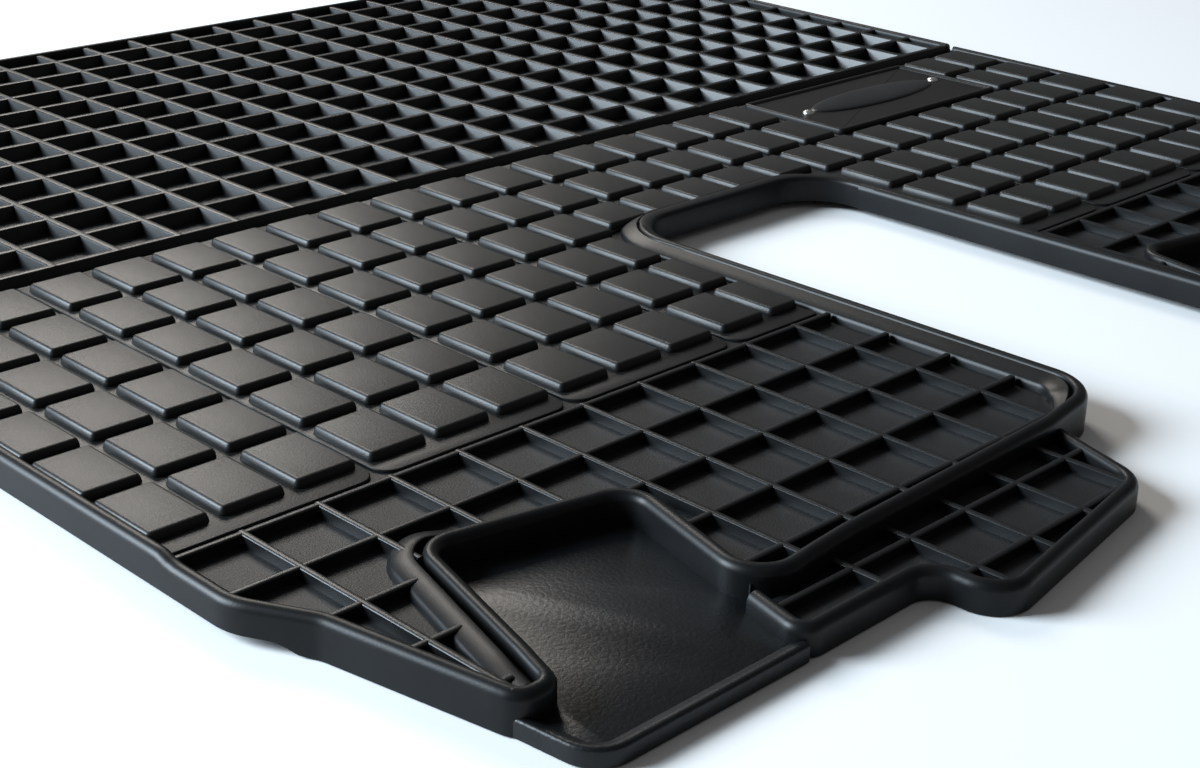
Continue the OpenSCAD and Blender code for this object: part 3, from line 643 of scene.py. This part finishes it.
def makeBadge():
    # stacked rings for the panel, and ellipse domes for the oval and the pins
    x, y, width, length = badge["x"], badge["y"], badge["width"], badge["length"]
    corner = badge["corner"]
    outline = roundedLine([
        (x, y, corner), (x + width, y, corner), (x + width, y + length, corner), (x, y + length, corner)],
        40, True)
    floor = mat["blockTop"] - badge["depth"]
    levels = [(10.9, 0), (13.1, 0), (13.8, 0.35), (14.15, 0.9), (14.2, 1.5), (14.1, 2.3), (13.6, 2.9),
              (floor, 3.3)]
    makePiece("badgePanel", stacked(outline, levels), "badge_panel", nodes=["badge_panel"])
    middle = (x + width / 2 + oval["right"], y + length * oval["share"])
    dome = domed(middle, oval["length"], oval["width"], floor, oval["height"], oval["fullness"])
    makePiece("badgeOval", dome, "badge_oval", nodes=["badge_oval"])
    pin = oval["pin"]
    reach = oval["length"] / 2 + pin / 2 + oval["gap"]
    pins = [
        domed((middle[0] + shift, middle[1]), pin, pin, floor, oval["pinHeight"], oval["pinFullness"])
        for shift in (-reach, reach)]
    makePiece("badgePins", joined(pins), "pin_metal", nodes=["badge_pins"])


makeBadge()
print("badge made")

# Pockets: a pan on the ground with a low rounded lip along its open edge.
lipProfile = np.array([
    (0, 0.02), (0, 4.5), (0.3, 5.15), (0.9, 5.5), (1.8, 5.5), (3.2, 5.0), (4.4, 4.2), (5.4, 3.7), (6.2, 3.4),
    (6.2, 0.02)])


panLevels = [(0.02, 0), (3.45, 0), (3.5, 0.1)]
lipOverlap = 2.0


def makePan(name, outline, lip, node):
    # the pan's own slab and its lip in one piece
    shape = joined([stacked(outline, panLevels), carried(lip, lipProfile)])
    makePiece(name, shape, "pocket_rubber", nodes=[node])


def makePockets():
    # each pan is the wall's line closed by the lip's line moved a little inwards
    lipSide = beside(lipLine, lipOverlap)[::-1][1:]
    outline = np.concatenate([pocketLine, [[110.5, -116.5], [106, -136]], lipSide])
    makePan("nearPan", outline, lipLine, "near_pocket_pan")
    outline = np.concatenate([farPocketLine, beside(farLipLine, lipOverlap)[::-1]])
    makePan("farPan", outline, farLipLine, "far_pocket_pan")


makePockets()
print("pockets made")

# The groove's web and the rims beside it, where the mat bends between the two sections; these pieces are
# attached to neither section.
fold = {
    "web": 1.6, "axis": 7.5, "middle": 226.5, "webStart": 222.0, "webEnd": 231.5, "side": 4.0,
    "thinning": 0.35, "thinLength": 1.4, "bridgeStart": 222.6, "bridgeEnd": 230.4, "bridgeWidth": 4.6,
    "waistTop": 3.4, "waistBottom": 2.2, "waistLength": 1.7,
}


def makeFold():
    # short strips across the groove, with points close enough along them to bend
    side, middle = fold["side"], fold["middle"]
    across = roundedLine([(side, fold["webStart"], 0), (side, fold["webEnd"], 0)], spacing=0.7)
    width = farX(226) - 2 * side
    # flat strip, a little thinner in the middle of the groove: 1 less a bell curve of the distance from it
    thin = 1 - fold["thinning"] * np.exp(-((across[:, 1] - middle) / fold["thinLength"]) ** 2)
    half = fold["web"] / 2 * thin[:, None]
    d = np.array([0, 0, -1, -1]) * width
    z = fold["axis"] + np.concatenate([-half, half, half, -half], 1)
    profile = np.stack([np.broadcast_to(d, z.shape), z], -1)
    makePiece("foldWeb", carried(across, profile), "floor_rubber", nodes=["flex_web"], bends=True)
    # rim bridges with a waist of the same bell curve
    for name, x, inward in (("foldRimLeft", 0.0, -1), ("foldRimFar", farX(middle), 1)):
        run = roundedLine([(x, fold["bridgeStart"], 0), (x, fold["bridgeEnd"], 0)], spacing=0.6)
        waist = np.exp(-((run[:, 1] - middle) / fold["waistLength"]) ** 2)
        top = mat["rim"] - 0.15 - fold["waistTop"] * waist
        bottom = mat["hem"] + 0.1 + fold["waistBottom"] * waist
        profile = beadProfile(fold["bridgeWidth"], top, bottom, 0.2)
        profile[..., 0] *= inward
        makePiece(name, carried(run, profile), "rim_rubber", bends=True)


makeFold()
print("fold made")

# Grip studs under the mat: short round feet with a rounded tip.
studs = {"width": 9.0, "pitch": 58.0}
studSets = {
    "near_toe_grip_studs": ("front_section", 139, 276, -90.5, -47.2),
    "near_grip_studs": ("front_section", 14, 290, -14, 105),
    "far_toe_grip_studs": ("front_section", 522, 655.6, -104.5, -47.2),
    "far_grip_studs": ("front_section", 436, 659.4, -14, 105),
    "heel_grip_studs": ("front_section", 14, 660, 136, 210),
    "rear_grip_studs": ("rear_section", 20, 662.3, 243, 519),
}


def evenly(low, high):
    # equal steps no longer than the pitch
    return np.linspace(low, high, max(1, math.ceil((high - low) / studs["pitch"])) + 1)


def makeStuds():
    # one stud is rings that grow from its tip up; it is repeated at even places
    turn = np.linspace(0, 2 * np.pi, 20, endpoint=False)
    radius = studs["width"] / 2 * np.array([0.55, 0.82, 0.95, 1.0, 1.0])
    height = np.array([0.02, 0.15, 0.6, 1.4, mat["underside"] + 0.1])
    ring = np.stack([np.cos(turn), np.sin(turn)], -1)
    count, around = len(height), len(turn)
    heights = np.broadcast_to(height[:, None, None], (count, around, 1))
    single = np.concatenate([radius[:, None, None] * ring, heights], -1)
    faces = ringFaces(count, around)
    for node, (body, x0, x1, y0, y1) in studSets.items():
        shapes = [(single.reshape(-1, 3) + [x, y, 0], faces) for x in evenly(x0, x1) for y in evenly(y0, y1)]
        words = node.split("_")
        name = words[0] + "".join(word.capitalize() for word in words[1:])
        makePiece(name, joined(shapes), "stud_rubber", body=body, nodes=[node])


makeStuds()
print("studs made")

view = {
    "place": (-251.784, -413.197, 267.103), "turn": (67.0968, -1.2507, -44.9069), "lens": 58.4186,
    "sensor": 36}
groundLooks = {"size": 30, "height": -0.0005, "colour": (0.86, 0.86, 0.86, 1), "rough": 0.8}
lights = {
    "sky": 0.13, "backdrop": 1.0,
    "window": {"place": (-2.0, 1.5, 1.2), "size": 1.25, "power": 210.0, "colour": (0.76, 0.89, 1.0)},
    "back": {"place": (1.0, 2.4, 1.9), "size": 1.1, "power": 42.0, "colour": (1.0, 0.95, 0.88)},
}


def makeSurroundings():
    # camera, ground, world and two soft lights
    scene = bpy.context.scene
    camera = bpy.data.objects.new("camera", bpy.data.cameras.new("camera"))
    camera.data.lens = view["lens"]
    camera.data.sensor_width = view["sensor"]
    camera.location = toFrame([view["place"]])[0]
    camera.rotation_euler = [math.radians(angle) for angle in view["turn"]]
    scene.collection.objects.link(camera)
    scene.camera = camera
    bpy.ops.mesh.primitive_plane_add(size=groundLooks["size"], location=(0, 0, groundLooks["height"]))
    ground = bpy.context.object
    ground.name = "ground"
    pale = bpy.data.materials.new("ground")
    pale.use_nodes = True
    shader = pale.node_tree.nodes["Principled BSDF"]
    shader.inputs["Base Color"].default_value = groundLooks["colour"]
    shader.inputs["Roughness"].default_value = groundLooks["rough"]
    ground.data.materials.append(pale)
    # the world is white where the camera sees it, and dim as a light
    world = bpy.data.worlds.new("studio")
    world.use_nodes = True
    tree = world.node_tree
    ray = tree.nodes.new("ShaderNodeLightPath")
    strength = tree.nodes.new("ShaderNodeMapRange")
    strength.inputs["To Min"].default_value = lights["sky"]
    strength.inputs["To Max"].default_value = lights["backdrop"]
    tree.links.new(ray.outputs["Is Camera Ray"], strength.inputs["Value"])
    tree.links.new(strength.outputs["Result"], tree.nodes["Background"].inputs["Strength"])
    tree.nodes["Background"].inputs["Color"].default_value = (1, 1, 1, 1)
    scene.world = world
    for name in ("window", "back"):
        values = lights[name]
        lamp = bpy.data.lights.new(name, "AREA")
        lamp.energy = values["power"]
        lamp.color = values["colour"]
        lamp.size = values["size"]
        panel = bpy.data.objects.new(name, lamp)
        panel.location = values["place"]
        panel.rotation_euler = (-panel.location).to_track_quat("-Z", "Y").to_euler()
        scene.collection.objects.link(panel)
    scene.view_settings.view_transform = "Standard"


makeSurroundings()
print("surroundings made")
